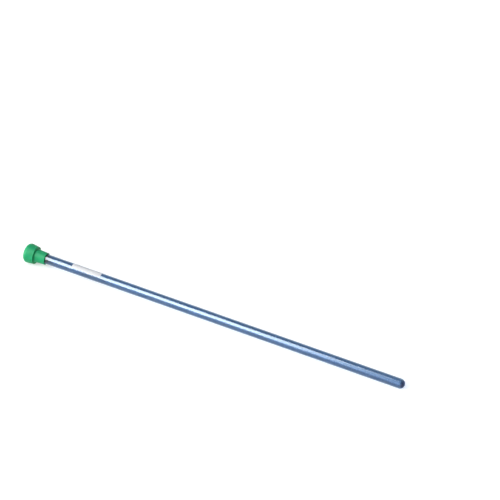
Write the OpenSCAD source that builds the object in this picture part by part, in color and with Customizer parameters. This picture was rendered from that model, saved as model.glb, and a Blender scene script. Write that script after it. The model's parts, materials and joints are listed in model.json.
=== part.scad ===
// Sample tube for magnetic resonance work, with a push-on cap, lying on its side.
//
// Three pieces: a thin-walled glass tube with a round closed end, a white marking patch
// fired on to the glass, and a moulded polyethylene cap that pushes over the open mouth.
// Each piece is drawn standing on the cap's closed face, with its axis along +Z. It is then
// laid down as it rests: on the head of the cap and on the round end, with +X towards that end.
// The origin lies on the surface that it rests on, under the middle of its length. Millimetres.

/* [Glass tube] */
// Length of the glass, from the open mouth to the end of the round closed end
tube_length = 203; // [100:1:250]
// Outside diameter of the glass
tube_diameter = 4.97; // [3:0.01:10]
// Thickness of the glass along the side of the tube
glass_wall = 0.38; // [0.2:0.01:0.6]
// Thickness of the glass at the middle of the round closed end, where the flame gathers it
round_end_wall = 1.2; // [0.4:0.1:2]

/* [Cap: lengths] */
// Length of the cap, from its closed face to the open end of its skirt
cap_length = 11.5; // [9:0.1:20]
// Length of the cap's wide head, from the closed face to its rim
head_length = 5.7; // [4:0.1:7.5]
// Thickness of the plastic that closes the end of the cap's bore
closed_wall = 1.7; // [0.8:0.1:2.5]
// Radius of the rounded edge between the closed face and the side of the head
edge_round = 1.8; // [0.5:0.1:2]
// Radius of the hollow corner where the skirt leaves the head
root_fillet = 0.5; // [0.1:0.05:0.8]
// Size of the small bevel on the head's rim and on the end of the skirt
edge_bevel = 0.12; // [0.05:0.01:0.15]

/* [Cap: walls] */
// Thickness of the skirt at its open end
skirt_end_wall = 0.5; // [0.4:0.05:1.5]
// Thickness of the skirt where it leaves the head
skirt_root_wall = 0.85; // [0.4:0.05:2]
// How far the head's rim stands out from the skirt
rim_overhang = 1.1; // [0.9:0.05:3]
// Angle by which the side of the head leans outwards, from the rim to the closed end
head_lean = 6.5; // [0:0.5:15]

/* [Cap: fit on the glass] */
// Clearance between the cap's bore and the glass, on the radius
push_clearance = 0.03; // [0.01:0.01:0.1]
// Gap between the mouth of the glass and the closed end of the cap's bore
seat_gap = 0.1; // [0:0.05:0.5]
// Length of the flare that leads the glass into the bore
flare_length = 0.6; // [0.2:0.05:1.5]
// Width of that flare at the end of the skirt, on the radius
flare_width = 0.2; // [0.05:0.01:0.2]

/* [Marking patch] */
// Length of the white patch along the tube
patch_length = 16; // [5:0.5:40]
// Angle that the patch covers round the tube
patch_angle = 100; // [30:5:330]
// Angle from straight up to the middle of the patch, towards the front
patch_turn = 30; // [-180:5:180]
// Bare glass between the end of the cap and the patch
patch_gap = 14.8; // [1:0.1:40]
// Thickness of the enamel
patch_thickness = 0.05; // [0.03:0.01:0.1]

/* [Hidden] */
$fn = 96;

// Straight steps that an arc of the cap's section is drawn in
arc_steps = 16;

// The glass
tube_r = tube_diameter / 2;
tube_bore_r = tube_r - glass_wall;
lip_r = glass_wall / 2;
mouth_z = closed_wall + seat_gap;
tube_end_z = mouth_z + tube_length;
round_end_z = tube_end_z - tube_r;

// The cap, worked out from its bore outwards
cap_bore_r = tube_r + push_clearance;
skirt_end_r = cap_bore_r + skirt_end_wall;
skirt_root_r = cap_bore_r + skirt_root_wall;
rim_r = skirt_root_r + rim_overhang;
skirt_lean = atan2(skirt_root_r - skirt_end_r, cap_length - head_length);
// Centre of the head's rounded edge, which runs smoothly into the closed face and the leaning side
lean_start_z = edge_round * (1 + sin(head_lean));
lean_start_r = rim_r + (head_length - lean_start_z) * tan(head_lean);
edge_centre_r = lean_start_r - edge_round * cos(head_lean);
// Centre of the hollow corner, which runs smoothly into the rim's face and the leaning skirt
fillet_centre_r = skirt_root_r + root_fillet * (1 / cos(skirt_lean) - tan(skirt_lean));
fillet_centre_z = head_length + root_fillet;

// The patch
patch_z = cap_length + patch_gap;

// The resting pose. The surface touches the head's rounded edge and the round end of the glass
// along one straight line, so it is the common tangent of those two circles.
reach = round_end_z - edge_round;
rest_tilt = acos((tube_r - edge_round) / norm([edge_centre_r, reach])) - atan2(reach, edge_centre_r);
rest_height = tube_r + round_end_z * sin(rest_tilt);
left_end = edge_round * (cos(rest_tilt) - 1) - edge_centre_r * sin(rest_tilt);
right_end = round_end_z * cos(rest_tilt) + tube_r;

// Lays a piece down from its own upright axis to where it rests
module lying_down() {
    translate([-(left_end + right_end) / 2, 0, rest_height])
        rotate([0, 90 + rest_tilt, 0])
            children();
}

// Half section of a solid rod of radius r, from just above the mouth to its round end
module round_ended_rod(r, end_z) {
    translate([0, mouth_z + lip_r])
        square([r, end_z - r - mouth_z - lip_r]);
    translate([0, end_z - r])
        intersection() {
            circle(r = r);
            square(r);
        }
}

// Half section of the glass: an even side wall, a thicker round end, and a lip that the flame
// has left fully round
module glass_section() {
    difference() {
        round_ended_rod(tube_r, tube_end_z);
        round_ended_rod(tube_bore_r, tube_end_z - round_end_wall);
    }
    translate([tube_r - lip_r, mouth_z + lip_r])
        circle(r = lip_r);
}

// Points along an arc, from one angle to another, counted from the +X axis of the section
function arc_points(centre, radius, from, to) = [
    for (step = [0:arc_steps])
        let (angle = from + (to - from) * step / arc_steps)
            centre + radius * [cos(angle), sin(angle)]
];

// Half section of the cap: the head and the skirt outside, the flare and the blind bore inside
module cap_section() {
    polygon(concat(
        [[0, 0]],
        arc_points([edge_centre_r, edge_round], edge_round, -90, head_lean),
        [
            [rim_r + edge_bevel * tan(head_lean), head_length - edge_bevel],
            [rim_r - edge_bevel, head_length]
        ],
        arc_points([fillet_centre_r, fillet_centre_z], root_fillet, -90, skirt_lean - 180),
        [
            [skirt_end_r + edge_bevel * tan(skirt_lean), cap_length - edge_bevel],
            [skirt_end_r - edge_bevel, cap_length],
            [cap_bore_r + flare_width, cap_length],
            [cap_bore_r, cap_length - flare_length],
            [cap_bore_r, closed_wall],
            [0, closed_wall]
        ]
    ));
}

module glass_tube() {
    color([0.55, 0.66, 0.78, 0.45])
        lying_down()
            rotate_extrude()
                glass_section();
}

module marking_patch() {
    // straight up is at 180 degrees in the upright frame
    color([0.95, 0.95, 0.97])
        lying_down()
            rotate([0, 0, 180 + patch_turn - patch_angle / 2])
                rotate_extrude(angle = patch_angle)
                    translate([tube_r, patch_z])
                        square([patch_thickness, patch_length]);
}

module cap() {
    color([0.16, 0.66, 0.38])
        lying_down()
            rotate_extrude()
                cap_section();
}

glass_tube();
marking_patch();
cap();
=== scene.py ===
import json
import math

import bpy
from mathutils import Matrix, Vector


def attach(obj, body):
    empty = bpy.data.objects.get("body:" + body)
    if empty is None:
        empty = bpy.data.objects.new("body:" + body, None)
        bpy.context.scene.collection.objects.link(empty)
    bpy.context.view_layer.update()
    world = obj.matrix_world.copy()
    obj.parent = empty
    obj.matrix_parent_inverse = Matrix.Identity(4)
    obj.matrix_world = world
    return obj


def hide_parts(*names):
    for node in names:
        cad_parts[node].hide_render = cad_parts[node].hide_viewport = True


# A thin-walled sample tube with a push-on cap, on a pale floor that a tall and a low softbox light.
# Every piece is made standing on the cap's closed face, with its axis along +Z, and is then
# laid down where the part's own record says that it rests. Metres and radians.

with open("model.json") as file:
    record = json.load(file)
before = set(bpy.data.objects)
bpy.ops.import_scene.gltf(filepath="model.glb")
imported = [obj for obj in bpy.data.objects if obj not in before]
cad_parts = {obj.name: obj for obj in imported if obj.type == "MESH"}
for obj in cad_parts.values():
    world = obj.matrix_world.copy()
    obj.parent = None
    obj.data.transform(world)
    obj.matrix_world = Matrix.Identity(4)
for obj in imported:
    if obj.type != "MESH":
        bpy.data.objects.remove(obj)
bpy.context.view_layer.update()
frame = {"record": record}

MM = 0.001
DEGREE = math.radians(1)

# ---------------------------------------------------------------- sizes of the part

# What the record says: where the cap's closed face is, which way the tube runs, and its two radii
mounts = {mount["name"]: mount for mount in frame["record"]["mounts"]}
closed_face = Vector(mounts["cap_face"]["pos_m"])
along = -Vector(mounts["mouth"]["axis"]).normalized()
tube_r = mounts["spinner_grip"]["dims"]["r_mm"] * MM
tube_bore_r = mounts["mouth"]["dims"]["r_mm"] * MM
rest_tilt = math.atan2(along.z, along.x)

# Glass tube
tube_length = 203 * MM
round_end_wall = 1.2 * MM

# Cap: lengths
cap_length = 11.5 * MM
head_length = 5.7 * MM
closed_wall = 1.7 * MM
edge_round = 1.8 * MM
root_fillet = 0.5 * MM

# Cap: walls
skirt_end_wall = 0.5 * MM
skirt_root_wall = 0.85 * MM
rim_overhang = 1.1 * MM
head_lean = 6.5 * DEGREE

# Cap: fit on the glass
push_clearance = 0.03 * MM
seat_gap = 0.1 * MM
flare_length = 0.6 * MM
flare_width = 0.2 * MM

# Cap: what the mould leaves
moulded_edge = 0.14 * MM
bore_corner = 0.25 * MM
gate_dimple_r = 1.0 * MM
gate_dimple_depth = 0.14 * MM
gate_stub_r = 0.38 * MM
gate_stub_top = 0.05 * MM
gate_softness = 0.06 * MM

# Marking patch. It ends 35 degrees higher on the front than its plain solid does
patch_length = 16 * MM
patch_angle = 65 * DEGREE
patch_turn = 12.5 * DEGREE
patch_gap = 14.8 * MM
patch_thickness = 0.05 * MM

# Marking patch: how its edges thin out, down to a share of the full thickness, and how they waver
patch_edge_share = 0.3
patch_edge_width = 0.25 * MM
patch_waver = 0.06 * MM
patch_waver_scale = 0.7 / MM
patch_waver_seed = 4

# Worked out from those
lip_r = (tube_r - tube_bore_r) / 2
mouth_z = closed_wall + seat_gap
round_end_z = mouth_z + tube_length - tube_r
bore_end_z = mouth_z + tube_length - round_end_wall
tip_x = (closed_face + along * (mouth_z + tube_length)).x
cap_bore_r = tube_r + push_clearance
skirt_end_r = cap_bore_r + skirt_end_wall
skirt_root_r = cap_bore_r + skirt_root_wall
rim_r = skirt_root_r + rim_overhang
head_base_r = rim_r + head_length * math.tan(head_lean)
patch_z = cap_length + patch_gap

# Fineness of the meshes, and the bend above which an edge stays sharp
STEPS_ROUND = 128
ARC_STEP = 6 * DEGREE
GLASS_STEP = 5 * MM
CAP_STEP = 1.25 * MM
PATCH_POINTS_ROUND = 49
PATCH_POINTS_ALONG = 121
MERGE_WITHIN = 0.0005 * MM
SHARP_ABOVE = 35 * DEGREE


# ---------------------------------------------------------------- outlines

def arc(centre, radius, start, end):
    """Points (r, z) along an arc, from one angle to another, counted from +r towards +z."""
    steps = max(2, math.ceil(abs(end - start) / ARC_STEP))
    angles = [start + (end - start) * step / steps for step in range(steps + 1)]
    return [Vector((centre[0] + radius * math.cos(a), centre[1] + radius * math.sin(a))) for a in angles]


def rounded(corners):
    """An outline through the corners (r, z, radius), each one rounded by an arc of its own radius."""
    points = []
    for number, (r, z, radius) in enumerate(corners):
        corner = Vector((r, z))
        if radius == 0:
            points.append(corner)
            continue
        back = (Vector(corners[number - 1][:2]) - corner).normalized()
        ahead = (Vector(corners[number + 1][:2]) - corner).normalized()
        # The centre is on the line that halves the corner, and the arc meets each side at that reach
        half = back.angle(ahead) / 2
        centre = corner + (back + ahead).normalized() * radius / math.sin(half)
        reach = radius / math.tan(half)
        first = corner + back * reach - centre
        last = corner + ahead * reach - centre
        start = math.atan2(first.y, first.x)
        turn = math.remainder(math.atan2(last.y, last.x) - start, 2 * math.pi)
        points += arc(centre, radius, start, start + turn)
    return points


def in_steps(points, longest):
    """The same outline with points added to its long runs, so that no step is over the longest."""
    result = [points[0]]
    for start, end in zip(points, points[1:]):
        steps = max(1, math.ceil((end - start).length / longest))
        result += [start.lerp(end, step / steps) for step in range(1, steps + 1)]
    return result


def glass_outline():
    """From the inner pole of the round end, round the lip that the flame left, to the outer pole."""
    inner_end = arc((0, bore_end_z - tube_bore_r), tube_bore_r, 90 * DEGREE, 0)
    lip = arc((tube_r - lip_r, mouth_z + lip_r), lip_r, 180 * DEGREE, 360 * DEGREE)
    outer_end = arc((0, round_end_z), tube_r, 0, 90 * DEGREE)
    return in_steps(inner_end + lip + outer_end, GLASS_STEP)


def cap_outline():
    """From the gate mark on the closed face, over the head and the skirt, to the bottom of the bore."""
    flare_z = cap_length - flare_length
    return in_steps(rounded([
        (0, gate_stub_top, 0),
        (gate_stub_r, gate_stub_top, gate_softness / 2),
        (gate_stub_r, gate_dimple_depth, gate_softness / 2),
        (gate_dimple_r, gate_dimple_depth, gate_softness),
        (gate_dimple_r + gate_dimple_depth, 0, gate_softness),
        (head_base_r, 0, edge_round),
        (rim_r, head_length, moulded_edge),
        (skirt_root_r, head_length, root_fillet),
        (skirt_end_r, cap_length, moulded_edge),
        (cap_bore_r + flare_width, cap_length, moulded_edge / 2),
        (cap_bore_r, flare_z, moulded_edge),
        (cap_bore_r, closed_wall, bore_corner),
        (0, closed_wall, 0),
    ]), CAP_STEP)


# ---------------------------------------------------------------- node trees, in general

# The middle of what a noise gives, between nought and one
NOISE_MIDDLE = 0.5


def put(tree, kind, inputs=None, **settings):
    """Adds a node. Each input, by its name or number, is a plain value or another node's output."""
    node = tree.nodes.new(kind)
    for name, value in settings.items():
        setattr(node, name, value)
    for key, value in (inputs or {}).items():
        if isinstance(value, bpy.types.NodeSocket):
            tree.links.new(value, node.inputs[key])
        else:
            node.inputs[key].default_value = value
    return node


def calc(tree, operation, *values):
    """The result of a Math node."""
    return put(tree, "ShaderNodeMath", dict(enumerate(values)), operation=operation).outputs[0]


def noise(tree, place, scale, detail, **others):
    """What a noise gives at each place, from nought to one."""
    inputs = {"Vector": place, "Scale": scale, "Detail": detail, **others}
    return put(tree, "ShaderNodeTexNoise", inputs).outputs["Fac"]


def eased(tree, value, start, end):
    """From nought to one as a value goes from start to end, gently at both."""
    return put(tree, "ShaderNodeMapRange", {
        "Value": value,
        "From Min": start,
        "From Max": end,
    }, interpolation_type="SMOOTHSTEP").outputs["Result"]


def declare(tree, in_out, sockets):
    """Gives a tree its named inputs or outputs, each with its kind and, where it has one, its value."""
    for name, (kind, *value) in sockets.items():
        socket = tree.interface.new_socket(name=name, in_out=in_out, socket_type="NodeSocket" + kind)
        if value:
            socket.default_value = value[0]


# ---------------------------------------------------------------- shapes, by Geometry Nodes

def finish_tree(tree, geometry, material):
    """Ends a tree: realized, with its material, so that it gives one whole mesh."""
    real = put(tree, "GeometryNodeRealizeInstances", {"Geometry": geometry}).outputs[0]
    made = put(tree, "GeometryNodeSetMaterial", {"Geometry": real, "Material": material}).outputs[0]
    put(tree, "NodeGroupOutput", {"Geometry": made})


def turned_piece_tree():
    """A lathe: turns an outline of points (r, 0, z) once round +Z and closes its seam and its poles."""
    tree = bpy.data.node_groups.new("turned_piece", "GeometryNodeTree")
    declare(tree, "INPUT", {
        "Outline": ("Geometry",),
        "Steps Round": ("Int", STEPS_ROUND),
        "Merge Within": ("Float", MERGE_WITHIN),
        "Sharp Above": ("Float", SHARP_ABOVE),
        "Finish": ("Material",),
    })
    declare(tree, "OUTPUT", {"Geometry": ("Geometry",)})
    given = put(tree, "NodeGroupInput").outputs
    outline = given["Outline"]

    # One column of the grid for each turn of the outline, and one row for each of its points
    size = put(tree, "GeometryNodeAttributeDomainSize", {"Geometry": outline}, component="MESH")
    rows = size.outputs["Point Count"]
    columns = calc(tree, "ADD", given["Steps Round"], 1)
    grid = put(tree, "GeometryNodeMeshGrid", {"Vertices X": columns, "Vertices Y": rows})
    mapped = put(tree, "GeometryNodeStoreNamedAttribute", {
        "Geometry": grid.outputs["Mesh"],
        "Name": "UVMap",
        "Value": grid.outputs["UV Map"],
    }, data_type="FLOAT2", domain="CORNER").outputs[0]

    # Each grid point takes its place from the outline and turns by its column's share of a full turn.
    # The half keeps a column's first point out of the column before, however the division rounds
    index = put(tree, "GeometryNodeInputIndex").outputs[0]
    column = calc(tree, "FLOOR", calc(tree, "DIVIDE", calc(tree, "ADD", index, 0.5), rows))
    row = calc(tree, "SUBTRACT", index, calc(tree, "MULTIPLY", column, rows))
    share = calc(tree, "DIVIDE", column, given["Steps Round"])
    turn = calc(tree, "MULTIPLY", share, 2 * math.pi)
    place = put(tree, "GeometryNodeSampleIndex", {
        "Geometry": outline,
        "Value": put(tree, "GeometryNodeInputPosition").outputs[0],
        "Index": row,
    }, data_type="FLOAT_VECTOR", domain="POINT").outputs[0]
    turned = put(tree, "ShaderNodeVectorRotate", {
        "Vector": place,
        "Angle": turn,
    }, rotation_type="Z_AXIS").outputs[0]
    laid = put(tree, "GeometryNodeSetPosition", {"Geometry": mapped, "Position": turned})
    closed = put(tree, "GeometryNodeMergeByDistance", {
        "Geometry": laid.outputs[0],
        "Distance": given["Merge Within"],
    })

    # Smooth all over, apart from edges that are really sharp
    bend = put(tree, "GeometryNodeInputMeshEdgeAngle").outputs["Unsigned Angle"]
    sharp = calc(tree, "GREATER_THAN", bend, given["Sharp Above"])
    smooth = put(tree, "GeometryNodeSetShadeSmooth", {
        "Geometry": closed.outputs[0],
        "Selection": sharp,
        "Shade Smooth": False,
    }, domain="EDGE")
    finish_tree(tree, smooth.outputs[0], given["Finish"])
    return tree


def wrapped_patch_tree():
    """A thin closed sheet wrapped round the glass, with wavering edges that thin out."""
    tree = bpy.data.node_groups.new("wrapped_patch", "GeometryNodeTree")
    declare(tree, "INPUT", {
        "Geometry": ("Geometry",),
        "Radius": ("Float", tube_r),
        "Start": ("Float", patch_z),
        "Length": ("Float", patch_length),
        "Middle": ("Float", 0.0),
        "Angle": ("Float", patch_angle),
        "Thickness": ("Float", patch_thickness),
        "Edge Share": ("Float", patch_edge_share),
        "Edge Width": ("Float", patch_edge_width),
        "Waver": ("Float", patch_waver),
        "Waver Scale": ("Float", patch_waver_scale),
        "Seed": ("Float", patch_waver_seed),
        "Finish": ("Material",),
    })
    declare(tree, "OUTPUT", {"Geometry": ("Geometry",)})
    given = put(tree, "NodeGroupInput").outputs
    sheet = put(tree, "GeometryNodeMeshCube", {
        "Size": (1, 1, 1),
        "Vertices X": PATCH_POINTS_ROUND,
        "Vertices Y": PATCH_POINTS_ALONG,
        "Vertices Z": 2,
    })
    mapped = put(tree, "GeometryNodeStoreNamedAttribute", {
        "Geometry": sheet.outputs["Mesh"],
        "Name": "UVMap",
        "Value": sheet.outputs["UV Map"],
    }, data_type="FLOAT2", domain="CORNER").outputs[0]

    # x runs round the glass, y along it and z outwards, each from minus a half to a half
    position = put(tree, "GeometryNodeInputPosition").outputs[0]
    unit = put(tree, "ShaderNodeSeparateXYZ", {0: position}).outputs
    width = calc(tree, "MULTIPLY", given["Angle"], given["Radius"])
    across = calc(tree, "MULTIPLY", unit["X"], width)
    down = calc(tree, "MULTIPLY", unit["Y"], given["Length"])

    # Each edge wavers by a smooth noise, by up to that much either way
    flat = put(tree, "ShaderNodeCombineXYZ", {"X": across, "Y": down, "Z": 0.0}).outputs[0]
    waver = put(tree, "ShaderNodeTexNoise", {
        "Vector": flat,
        "W": given["Seed"],
        "Scale": given["Waver Scale"],
        "Detail": 2,
    }, noise_dimensions="4D")
    drift = put(tree, "ShaderNodeSeparateXYZ", {0: waver.outputs["Color"]}).outputs
    shifted = []
    for place, amount in ((across, drift["X"]), (down, drift["Y"])):
        centred = calc(tree, "SUBTRACT", amount, NOISE_MIDDLE)
        shift = calc(tree, "MULTIPLY", centred, calc(tree, "MULTIPLY", given["Waver"], 2))
        shifted.append(calc(tree, "ADD", place, shift))

    # The enamel thins out towards the nearest edge
    to_side = calc(tree, "SUBTRACT", calc(tree, "MULTIPLY", width, 0.5), calc(tree, "ABSOLUTE", across))
    half_length = calc(tree, "MULTIPLY", given["Length"], 0.5)
    to_end = calc(tree, "SUBTRACT", half_length, calc(tree, "ABSOLUTE", down))
    depth = put(tree, "ShaderNodeMapRange", {
        "Value": calc(tree, "MINIMUM", to_side, to_end),
        "From Max": given["Edge Width"],
        "To Min": given["Edge Share"],
    }, interpolation_type="SMOOTHERSTEP").outputs[0]
    full = calc(tree, "MULTIPLY", depth, given["Thickness"])
    lift = calc(tree, "MULTIPLY", calc(tree, "ADD", unit["Z"], 0.5), full)
    radius = calc(tree, "ADD", given["Radius"], lift)

    angle = calc(tree, "ADD", calc(tree, "DIVIDE", shifted[0], given["Radius"]), given["Middle"])
    height = calc(tree, "ADD", calc(tree, "ADD", shifted[1], half_length), given["Start"])
    wrapped = put(tree, "ShaderNodeCombineXYZ", {
        "X": calc(tree, "MULTIPLY", radius, calc(tree, "COSINE", angle)),
        "Y": calc(tree, "MULTIPLY", radius, calc(tree, "SINE", angle)),
        "Z": height,
    }).outputs[0]
    laid = put(tree, "GeometryNodeSetPosition", {"Geometry": mapped, "Position": wrapped})
    smooth = put(tree, "GeometryNodeSetShadeSmooth", {"Geometry": laid.outputs[0]}, domain="FACE")
    finish_tree(tree, smooth.outputs[0], given["Finish"])
    return tree


def outline_mesh(name, points):
    """A mesh of the outline's points alone, with r along X."""
    mesh = bpy.data.meshes.new(name)
    edges = [(number, number + 1) for number in range(len(points) - 1)]
    mesh.from_pydata([(max(r, 0), 0, z) for r, z in points], edges, [])
    return mesh


def made_by(name, tree, start_mesh, place, **values):
    """Runs a tree on a start mesh and gives its result as a plain mesh object, put in its place."""
    maker = bpy.data.objects.new(name + "_maker", start_mesh)
    bpy.context.scene.collection.objects.link(maker)
    modifier = maker.modifiers.new(tree.name, "NODES")
    modifier.node_group = tree
    for socket in tree.interface.items_tree:
        key = socket.name.lower().replace(" ", "_")
        if socket.in_out == "INPUT" and key in values:
            modifier[socket.identifier] = values[key]
    depsgraph = bpy.context.evaluated_depsgraph_get()
    made = bpy.data.meshes.new_from_object(maker.evaluated_get(depsgraph), depsgraph=depsgraph)
    maker.modifiers.remove(modifier)
    bpy.data.objects.remove(maker)
    bpy.data.meshes.remove(start_mesh)
    made.name = name
    made.transform(place)
    piece = bpy.data.objects.new(name, made)
    bpy.context.scene.collection.objects.link(piece)
    return piece


def lying_down():
    """From upright, with the axis along +Z, to where the part rests. Its +X comes to point down."""
    side = Vector((0, 1, 0))
    down = side.cross(along).normalized()
    turn = Matrix((down, side, along)).transposed().to_4x4()
    return Matrix.Translation(closed_face) @ turn


# ---------------------------------------------------------------- finishes

# Glass: its cast where it is looked at straight and aslant, each from thin draw lines to thick ones.
# The aslant cast is darker partly for the longer path through the glass and partly as painted shade
# along the sides. Then the near-black of the round end, partly thicker glass and partly painted shade,
# and what its shadow lets through
GLASS_IOR = 1.473
GLASS_STRAIGHT = ((0.43, 0.56, 0.715, 1), (0.48, 0.61, 0.755, 1))
GLASS_ASLANT_AND_SHADE = ((0.14, 0.265, 0.42, 1), (0.18, 0.305, 0.46, 1))
GLASS_THICK_END_AND_SHADE = (0.006, 0.02, 0.07, 1)
GLASS_SHADOW = (0.72, 0.79, 0.87, 1)
GLASS_COAT = 0.8
GLASS_COAT_ROUGHNESS = 0.03
GLASS_MARKS = {
    "Roughness": 0.03,
    "Smudge Size": 9 * MM,
    "Smudge Depth": 0.01,
    "Speck Size": 0.4 * MM,
    "Speck Share": 0.1,
}
DRAW_LINE_WIDTH = 0.35 * MM
DRAW_LINE_STRETCH = 300
DRAW_LINE_RELIEF = {"Strength": 0.12, "Distance": 0.02 * MM}

# How far a surface turns from the eye before the aslant cast, with its painted shade, is full, from
# nought to one, and how far from the tip the near-black of the round end, partly painted shade, starts
# and is full
ASLANT_FROM = 0.15
ROUND_END_SPAN = (1.6 * round_end_wall, 0.5 * round_end_wall)

# Cap: polyethylene lets light in a little way, and green light farthest
GREEN = ((0.006, 0.37, 0.14, 1), (0.018, 0.46, 0.185, 1))
GREEN_DUST = (0.3, 0.6, 0.4, 1)
GREEN_DUST_SHARE = 0.25
PLASTIC_IOR = 1.5
PLASTIC_SHINE = 0.35
PLASTIC_SEE_THROUGH = 0.4
PLASTIC_LIGHT_REACH = (0.35, 1.0, 0.55)
PLASTIC_LIGHT_DEPTH = 0.7 * MM
PLASTIC_MARKS = {
    "Roughness": 0.46,
    "Smudge Size": 2.2 * MM,
    "Smudge Depth": 0.16,
    "Speck Size": 0.25 * MM,
    "Speck Share": 0.2,
}
FLOW_MARK_SIZE = 1.6 * MM
FLOW_MARK_STRETCH = 4
FLOW_MARK_SWIRL = 0.6
CAP_GRAIN_SIZE = 0.14 * MM
CAP_GRAIN_RELIEF = {"Strength": 0.25, "Distance": 0.01 * MM}

# Patch: where it went on well, and where it went on thinner, in streaks where a noise is high
WHITE = ((0.86, 0.87, 0.885, 1), (0.66, 0.655, 0.69, 1))
WHITE_DUST = (0.5, 0.5, 0.52, 1)
WHITE_DUST_SHARE = 0.3
ENAMEL_MARKS = {
    "Roughness": 0.6,
    "Smudge Size": 3 * MM,
    "Smudge Depth": 0.12,
    "Speck Size": 0.2 * MM,
    "Speck Share": 0.2,
}
STREAK_WIDTH = 0.8 * MM
STREAK_STRETCH = 14
STREAK_LEVELS = (0.45, 0.72)
ENAMEL_GRAIN_SIZE = 0.1 * MM
ENAMEL_GRAIN_RELIEF = {"Strength": 0.4, "Distance": 0.01 * MM}

# Smudges: how ragged they are. Specks of dust show where a noise rises above a level, which falls as
# their share grows
SMUDGE_RAGGEDNESS = 0.55
SPECKS_START = 0.8
SPECKS_SPREAD = 0.4
SPECKS_SOFTNESS = 0.04


def lengthwise_group():
    """Turns a pattern so that +X runs along the tube, and stretches it that way."""
    group = bpy.data.node_groups.new("lengthwise", "ShaderNodeTree")
    declare(group, "INPUT", {"Vector": ("Vector",), "Stretch": ("Float", 1)})
    declare(group, "OUTPUT", {"Vector": ("Vector",)})
    given = put(group, "NodeGroupInput").outputs
    turned = put(group, "ShaderNodeMapping", {
        "Vector": given["Vector"],
        "Rotation": (0, rest_tilt, 0),
    }, vector_type="POINT").outputs[0]
    parts = put(group, "ShaderNodeSeparateXYZ", {0: turned}).outputs
    stretched = put(group, "ShaderNodeCombineXYZ", {
        "X": calc(group, "DIVIDE", parts["X"], given["Stretch"]),
        "Y": parts["Y"],
        "Z": parts["Z"],
    }).outputs[0]
    put(group, "NodeGroupOutput", {"Vector": stretched})
    return group


def handling_group():
    """What handling leaves on any finish: broad smudges in its gloss, and specks of dust."""
    group = bpy.data.node_groups.new("handling_marks", "ShaderNodeTree")
    declare(group, "INPUT", {
        "Vector": ("Vector",),
        "Roughness": ("Float",),
        "Smudge Size": ("Float",),
        "Smudge Depth": ("Float",),
        "Speck Size": ("Float",),
        "Speck Share": ("Float",),
    })
    declare(group, "OUTPUT", {"Roughness": ("Float",), "Specks": ("Float",)})
    given = put(group, "NodeGroupInput").outputs
    smudge_scale = calc(group, "DIVIDE", 1, given["Smudge Size"])
    smudge = noise(group, given["Vector"], smudge_scale, detail=3, Roughness=SMUDGE_RAGGEDNESS)
    speck_scale = calc(group, "DIVIDE", 1, given["Speck Size"])
    speck = noise(group, given["Vector"], speck_scale, detail=1)
    lowering = calc(group, "MULTIPLY", given["Speck Share"], SPECKS_SPREAD)
    level = calc(group, "SUBTRACT", SPECKS_START, lowering)
    specks = eased(group, speck, level, calc(group, "ADD", level, SPECKS_SOFTNESS))
    swing = calc(group, "MULTIPLY", calc(group, "SUBTRACT", smudge, NOISE_MIDDLE), given["Smudge Depth"])
    dusty = calc(group, "MULTIPLY", specks, given["Smudge Depth"])
    rough = calc(group, "ADD", calc(group, "ADD", given["Roughness"], swing), dusty)
    put(group, "NodeGroupOutput", {"Roughness": rough, "Specks": specks})
    return group


def new_material(name):
    """A material and its tree, which is empty as yet."""
    material = bpy.data.materials.new(name)
    material.use_nodes = True
    material.node_tree.nodes.clear()
    return material, material.node_tree


def object_coordinates(tree):
    """Places on the piece itself, so that its pattern moves with it."""
    return put(tree, "ShaderNodeTexCoord").outputs["Object"]


def grouped(tree, group, inputs):
    """What a shader group puts out with these values of its own."""
    return put(tree, "ShaderNodeGroup", inputs, node_tree=group).outputs


def blended(tree, factor, first, second):
    """A colour between two, by a factor. The node has its sockets once for each kind of value, so the
    ones for colours go by their number."""
    mix = put(tree, "ShaderNodeMix", {0: factor, 6: first, 7: second}, data_type="RGBA")
    return mix.outputs[2]


def relief(tree, height, amounts):
    """A normal that follows a slight relief: its amounts are a strength and a distance."""
    return put(tree, "ShaderNodeBump", {"Height": height, **amounts}).outputs[0]


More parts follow.
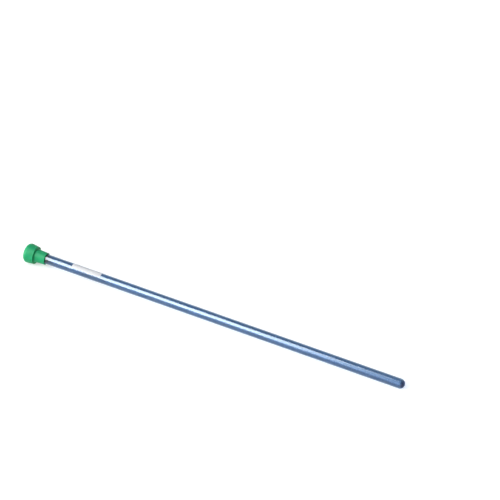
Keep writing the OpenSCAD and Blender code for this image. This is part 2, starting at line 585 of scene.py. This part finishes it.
def tube_glass(lengthwise, handling):
    """Drawn borosilicate with a slate-blue cast and faint draw lines. Its sides darken as painted shade.
    Its round end is duller, with no coat, and near-black, partly as thicker glass and partly as painted
    shade.
    """
    material, tree = new_material("tube_glass")
    place = object_coordinates(tree)
    stretched = grouped(tree, lengthwise, {"Vector": place, "Stretch": DRAW_LINE_STRETCH})["Vector"]
    lines = noise(tree, stretched, 1 / DRAW_LINE_WIDTH, detail=2)
    marks = grouped(tree, handling, {"Vector": place, **GLASS_MARKS})

    # The cast is deeper where the surface turns away from the eye: partly for the longer path through
    # the glass, partly as painted shade along the sides
    turned_away = put(tree, "ShaderNodeLayerWeight").outputs["Facing"]
    aslant = eased(tree, turned_away, 0, ASLANT_FROM)
    seen_straight = blended(tree, lines, *GLASS_STRAIGHT)
    seen_aslant = blended(tree, lines, *GLASS_ASLANT_AND_SHADE)
    tint_and_shade = blended(tree, aslant, seen_straight, seen_aslant)

    # The glass that is gathered at the round end has no coat and a near-black colour: partly for its
    # thicker glass, partly as painted shade at the tip
    x = put(tree, "ShaderNodeSeparateXYZ", {0: place}).outputs["X"]
    to_the_end = eased(tree, x, tip_x - ROUND_END_SPAN[0], tip_x - ROUND_END_SPAN[1])
    glass = put(tree, "ShaderNodeBsdfPrincipled", {
        "Base Color": blended(tree, to_the_end, tint_and_shade, GLASS_THICK_END_AND_SHADE),
        "Roughness": marks["Roughness"],
        "IOR": GLASS_IOR,
        "Transmission Weight": 1,
        "Coat Weight": put(tree, "ShaderNodeMapRange", {
            "Value": to_the_end,
            "To Min": GLASS_COAT,
            "To Max": 0,
        }).outputs["Result"],
        "Coat Roughness": GLASS_COAT_ROUGHNESS,
        "Coat IOR": GLASS_IOR,
        "Normal": relief(tree, lines, DRAW_LINE_RELIEF),
    })
    # Its shadow is plain tinted light, because the light that glass bends stays grainy
    shade = put(tree, "ShaderNodeBsdfTransparent", {"Color": GLASS_SHADOW})
    surface = put(tree, "ShaderNodeMixShader", {
        0: put(tree, "ShaderNodeLightPath").outputs["Is Shadow Ray"],
        1: glass.outputs[0],
        2: shade.outputs[0],
    })
    put(tree, "ShaderNodeOutputMaterial", {"Surface": surface.outputs[0]})
    return material


def cap_plastic(lengthwise, handling):
    """Green moulded polyethylene: satin, a little see-through, with faint flow marks from the mould."""
    material, tree = new_material("cap_plastic")
    place = object_coordinates(tree)
    stretched = grouped(tree, lengthwise, {"Vector": place, "Stretch": FLOW_MARK_STRETCH})["Vector"]
    flow = noise(tree, stretched, 1 / FLOW_MARK_SIZE, detail=3, Distortion=FLOW_MARK_SWIRL)
    marks = grouped(tree, handling, {"Vector": place, **PLASTIC_MARKS})
    grain = noise(tree, place, 1 / CAP_GRAIN_SIZE, detail=2)
    dust = calc(tree, "MULTIPLY", marks["Specks"], GREEN_DUST_SHARE)
    plastic = put(tree, "ShaderNodeBsdfPrincipled", {
        "Base Color": blended(tree, dust, blended(tree, flow, *GREEN), GREEN_DUST),
        "Roughness": marks["Roughness"],
        "IOR": PLASTIC_IOR,
        "Specular IOR Level": PLASTIC_SHINE,
        "Subsurface Weight": PLASTIC_SEE_THROUGH,
        "Subsurface Radius": PLASTIC_LIGHT_REACH,
        "Subsurface Scale": PLASTIC_LIGHT_DEPTH,
        "Normal": relief(tree, grain, CAP_GRAIN_RELIEF),
    })
    put(tree, "ShaderNodeOutputMaterial", {"Surface": plastic.outputs[0]})
    return material


def patch_enamel(lengthwise, handling):
    """White enamel, screened on and fired: matt, with faint grey streaks where it went on thinner."""
    material, tree = new_material("patch_enamel")
    place = object_coordinates(tree)
    stretched = grouped(tree, lengthwise, {"Vector": place, "Stretch": STREAK_STRETCH})["Vector"]
    streaks = noise(tree, stretched, 1 / STREAK_WIDTH, detail=3)
    thin = eased(tree, streaks, *STREAK_LEVELS)
    marks = grouped(tree, handling, {"Vector": place, **ENAMEL_MARKS})
    grain = noise(tree, place, 1 / ENAMEL_GRAIN_SIZE, detail=3)
    dust = calc(tree, "MULTIPLY", marks["Specks"], WHITE_DUST_SHARE)
    enamel = put(tree, "ShaderNodeBsdfPrincipled", {
        "Base Color": blended(tree, dust, blended(tree, thin, *WHITE), WHITE_DUST),
        "Roughness": marks["Roughness"],
        "Normal": relief(tree, grain, ENAMEL_GRAIN_RELIEF),
    })
    put(tree, "ShaderNodeOutputMaterial", {"Surface": enamel.outputs[0]})
    return material


# ---------------------------------------------------------------- the three pieces

def build_part(lathe):
    """The glass, the cap and the patch, each in the place of its own plain solid."""
    lengthwise = lengthwise_group()
    handling = handling_group()
    lying = lying_down()

    glass_profile = outline_mesh("glass_outline", glass_outline())
    glass = made_by("glass_tube_fine", lathe, glass_profile, lying,
                    finish=tube_glass(lengthwise, handling))
    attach(glass, "tube")
    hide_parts("glass_tube")

    cap_profile = outline_mesh("cap_outline", cap_outline())
    cap = made_by("cap_fine", lathe, cap_profile, lying,
                  finish=cap_plastic(lengthwise, handling))
    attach(cap, "cap")
    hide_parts("cap")

    # The upright +X comes to point down, so straight up is half a turn from it
    patch = made_by("patch_fine", wrapped_patch_tree(), bpy.data.meshes.new("patch_start"), lying,
                    middle=math.pi + patch_turn, finish=patch_enamel(lengthwise, handling))
    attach(patch, "tube")
    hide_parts("marking_patch")


# ---------------------------------------------------------------- studio

# Floor: how far it runs flat, the radius of its bend, and how high the backdrop stands behind it
SWEEP_FLAT = 2.2
SWEEP_BEND = 0.8
SWEEP_TOP = 2.0
FLOOR_COLOUR = (0.8, 0.8, 0.8, 1)

SKY_COLOUR = (0.86, 0.93, 1.0, 1)
SKY_STRENGTH = 0.18

# How much lighter the floor and the sky look than what they shine on the part, and the share of that
# lift in reflections, where the floor would be lighter than white with all of it
FLOOR_SHOWN_LIGHTER = 0.52
SKY_SHOWN_LIGHTER = 0.6
LIFT_IN_GLOSS = 0.6

# Lamps: where each hangs, seen from the part, how far it is rolled, its width and height, how far
# its middle is moved to its own right and up, how bright it is, and how wide the fade at its
# right-hand edge is
TALL_SOFTBOX = {
    "azimuth": -33 * DEGREE,
    "elevation": 47 * DEGREE,
    "turn": 24 * DEGREE,
    "distance": 1.8,
    "size": (0.66, 1.88),
    "shift": (-0.02, 0.19),
    "radiance": 7.9,
    "fade": 0.25,
}
LOW_SOFTBOX = {
    "azimuth": -62 * DEGREE,
    "elevation": 10 * DEGREE,
    "turn": 0,
    "distance": 2.0,
    "size": (1.17, 0.58),
    "shift": (0, 0),
    "radiance": 11,
    "fade": 1 * MM,
}

# Camera: where it stands, seen from the point that it looks at. Its lens and sensor are in millimetres
CAMERA_AZIMUTH = 25.872 * DEGREE
CAMERA_ELEVATION = 38.357 * DEGREE
CAMERA_ROLL = 1.549 * DEGREE
CAMERA_DISTANCE = 1.3515
CAMERA_TARGET = Vector((-8.76 * MM, 59.34 * MM, 0))
CAMERA_LENS = 195.333
CAMERA_SEES_FROM = 0.05
CAMERA_SEES_TO = 20
SENSOR_WIDTH = 36


def where_seen(tree):
    """One where the camera or glass sees a surface, less in gloss, nought where it lights another."""
    paths = put(tree, "ShaderNodeLightPath").outputs
    direct = calc(tree, "MAXIMUM", paths["Is Camera Ray"], paths["Is Transmission Ray"])
    glossy = calc(tree, "MULTIPLY", paths["Is Glossy Ray"], LIFT_IN_GLOSS)
    return calc(tree, "MAXIMUM", direct, glossy)


def floor_material():
    """Pale floor: what is seen of it is lighter, and it keeps its shadow."""
    material, tree = new_material("pale_floor")
    matt = put(tree, "ShaderNodeBsdfDiffuse", {"Color": FLOOR_COLOUR})
    lift = calc(tree, "MULTIPLY", where_seen(tree), FLOOR_SHOWN_LIGHTER)
    glow = put(tree, "ShaderNodeEmission", {"Strength": lift})
    both = put(tree, "ShaderNodeAddShader", {0: matt.outputs[0], 1: glow.outputs[0]})
    put(tree, "ShaderNodeOutputMaterial", {"Surface": both.outputs[0]})
    return material


def build_sweep(lathe):
    """The floor, which bends up into a backdrop all round."""
    bend = arc((SWEEP_FLAT, SWEEP_BEND), SWEEP_BEND, -90 * DEGREE, 0)
    points = [Vector((0, 0))] + bend + [Vector((SWEEP_FLAT + SWEEP_BEND, SWEEP_TOP))]
    profile = outline_mesh("sweep_outline", points)
    sweep = made_by("studio_sweep", lathe, profile, Matrix(), finish=floor_material())


def build_sky():
    """A dim blue-white sky, which looks lighter where it is seen."""
    world = bpy.data.worlds.new("studio_sky")
    world.use_nodes = True
    tree = world.node_tree
    tree.nodes.clear()
    lift = calc(tree, "MULTIPLY", where_seen(tree), SKY_SHOWN_LIGHTER)
    sky = put(tree, "ShaderNodeBackground", {
        "Color": SKY_COLOUR,
        "Strength": calc(tree, "ADD", lift, SKY_STRENGTH),
    })
    put(tree, "ShaderNodeOutputWorld", {"Surface": sky.outputs[0]})
    bpy.context.scene.world = world


def facing_back(azimuth, elevation, roll):
    """Axes of a camera or lamp: right, up and back, where back points to it from what it looks at."""
    back = Vector((
        math.sin(azimuth) * math.cos(elevation),
        -math.cos(azimuth) * math.cos(elevation),
        math.sin(elevation),
    ))
    right = Vector((0, 0, 1)).cross(back).normalized()
    up = back.cross(right)
    turned_right = right * math.cos(roll) + up * math.sin(roll)
    turned_up = up * math.cos(roll) - right * math.sin(roll)
    return turned_right, turned_up, back


def place_facing(name, data, axes, location):
    """Puts a camera or a lamp at a place, with the given axes."""
    thing = bpy.data.objects.new(name, data)
    bpy.context.scene.collection.objects.link(thing)
    matrix = Matrix(axes).transposed().to_4x4()
    matrix.translation = location
    thing.matrix_world = matrix
    return thing


def hang_lamp(name, azimuth, elevation, turn, distance, size, shift, radiance, fade):
    """A softbox that faces the part. Its glow fades towards its right-hand edge, over that width."""
    lamp = bpy.data.lights.new(name, "AREA")
    lamp.shape = "RECTANGLE"
    lamp.size, lamp.size_y = size
    # The power of a face of this size that has the radiance all over
    lamp.energy = radiance * math.pi * lamp.size * lamp.size_y
    lamp.use_nodes = True
    tree = lamp.node_tree
    tree.nodes.clear()
    spot = put(tree, "ShaderNodeNewGeometry").outputs["Parametric"]
    across = put(tree, "ShaderNodeSeparateXYZ", {0: spot}).outputs["X"]
    from_right = calc(tree, "MULTIPLY", calc(tree, "SUBTRACT", 1, across), lamp.size)
    glow = eased(tree, from_right, 0, fade)
    lit = put(tree, "ShaderNodeEmission", {"Strength": glow}).outputs["Emission"]
    put(tree, "ShaderNodeOutputLight", {"Surface": lit})
    right, up, back = facing_back(azimuth, elevation, turn)
    location = back * distance + right * shift[0] + up * shift[1]
    softbox = place_facing(name, lamp, (right, up, back), location)
    softbox.visible_camera = False


def build_camera():
    """A long lens, high up in front of the part and somewhat to its right."""
    camera = bpy.data.cameras.new("camera")
    camera.sensor_width = SENSOR_WIDTH
    camera.lens = CAMERA_LENS
    camera.clip_start = CAMERA_SEES_FROM
    camera.clip_end = CAMERA_SEES_TO
    axes = facing_back(CAMERA_AZIMUTH, CAMERA_ELEVATION, CAMERA_ROLL)
    location = CAMERA_TARGET + axes[2] * CAMERA_DISTANCE
    bpy.context.scene.camera = place_facing("camera", camera, axes, location)


lathe = turned_piece_tree()
build_part(lathe)
build_sweep(lathe)
build_sky()
hang_lamp("tall_softbox", **TALL_SOFTBOX)
hang_lamp("low_softbox", **LOW_SOFTBOX)
build_camera()
bpy.context.scene.view_settings.view_transform = "Standard"
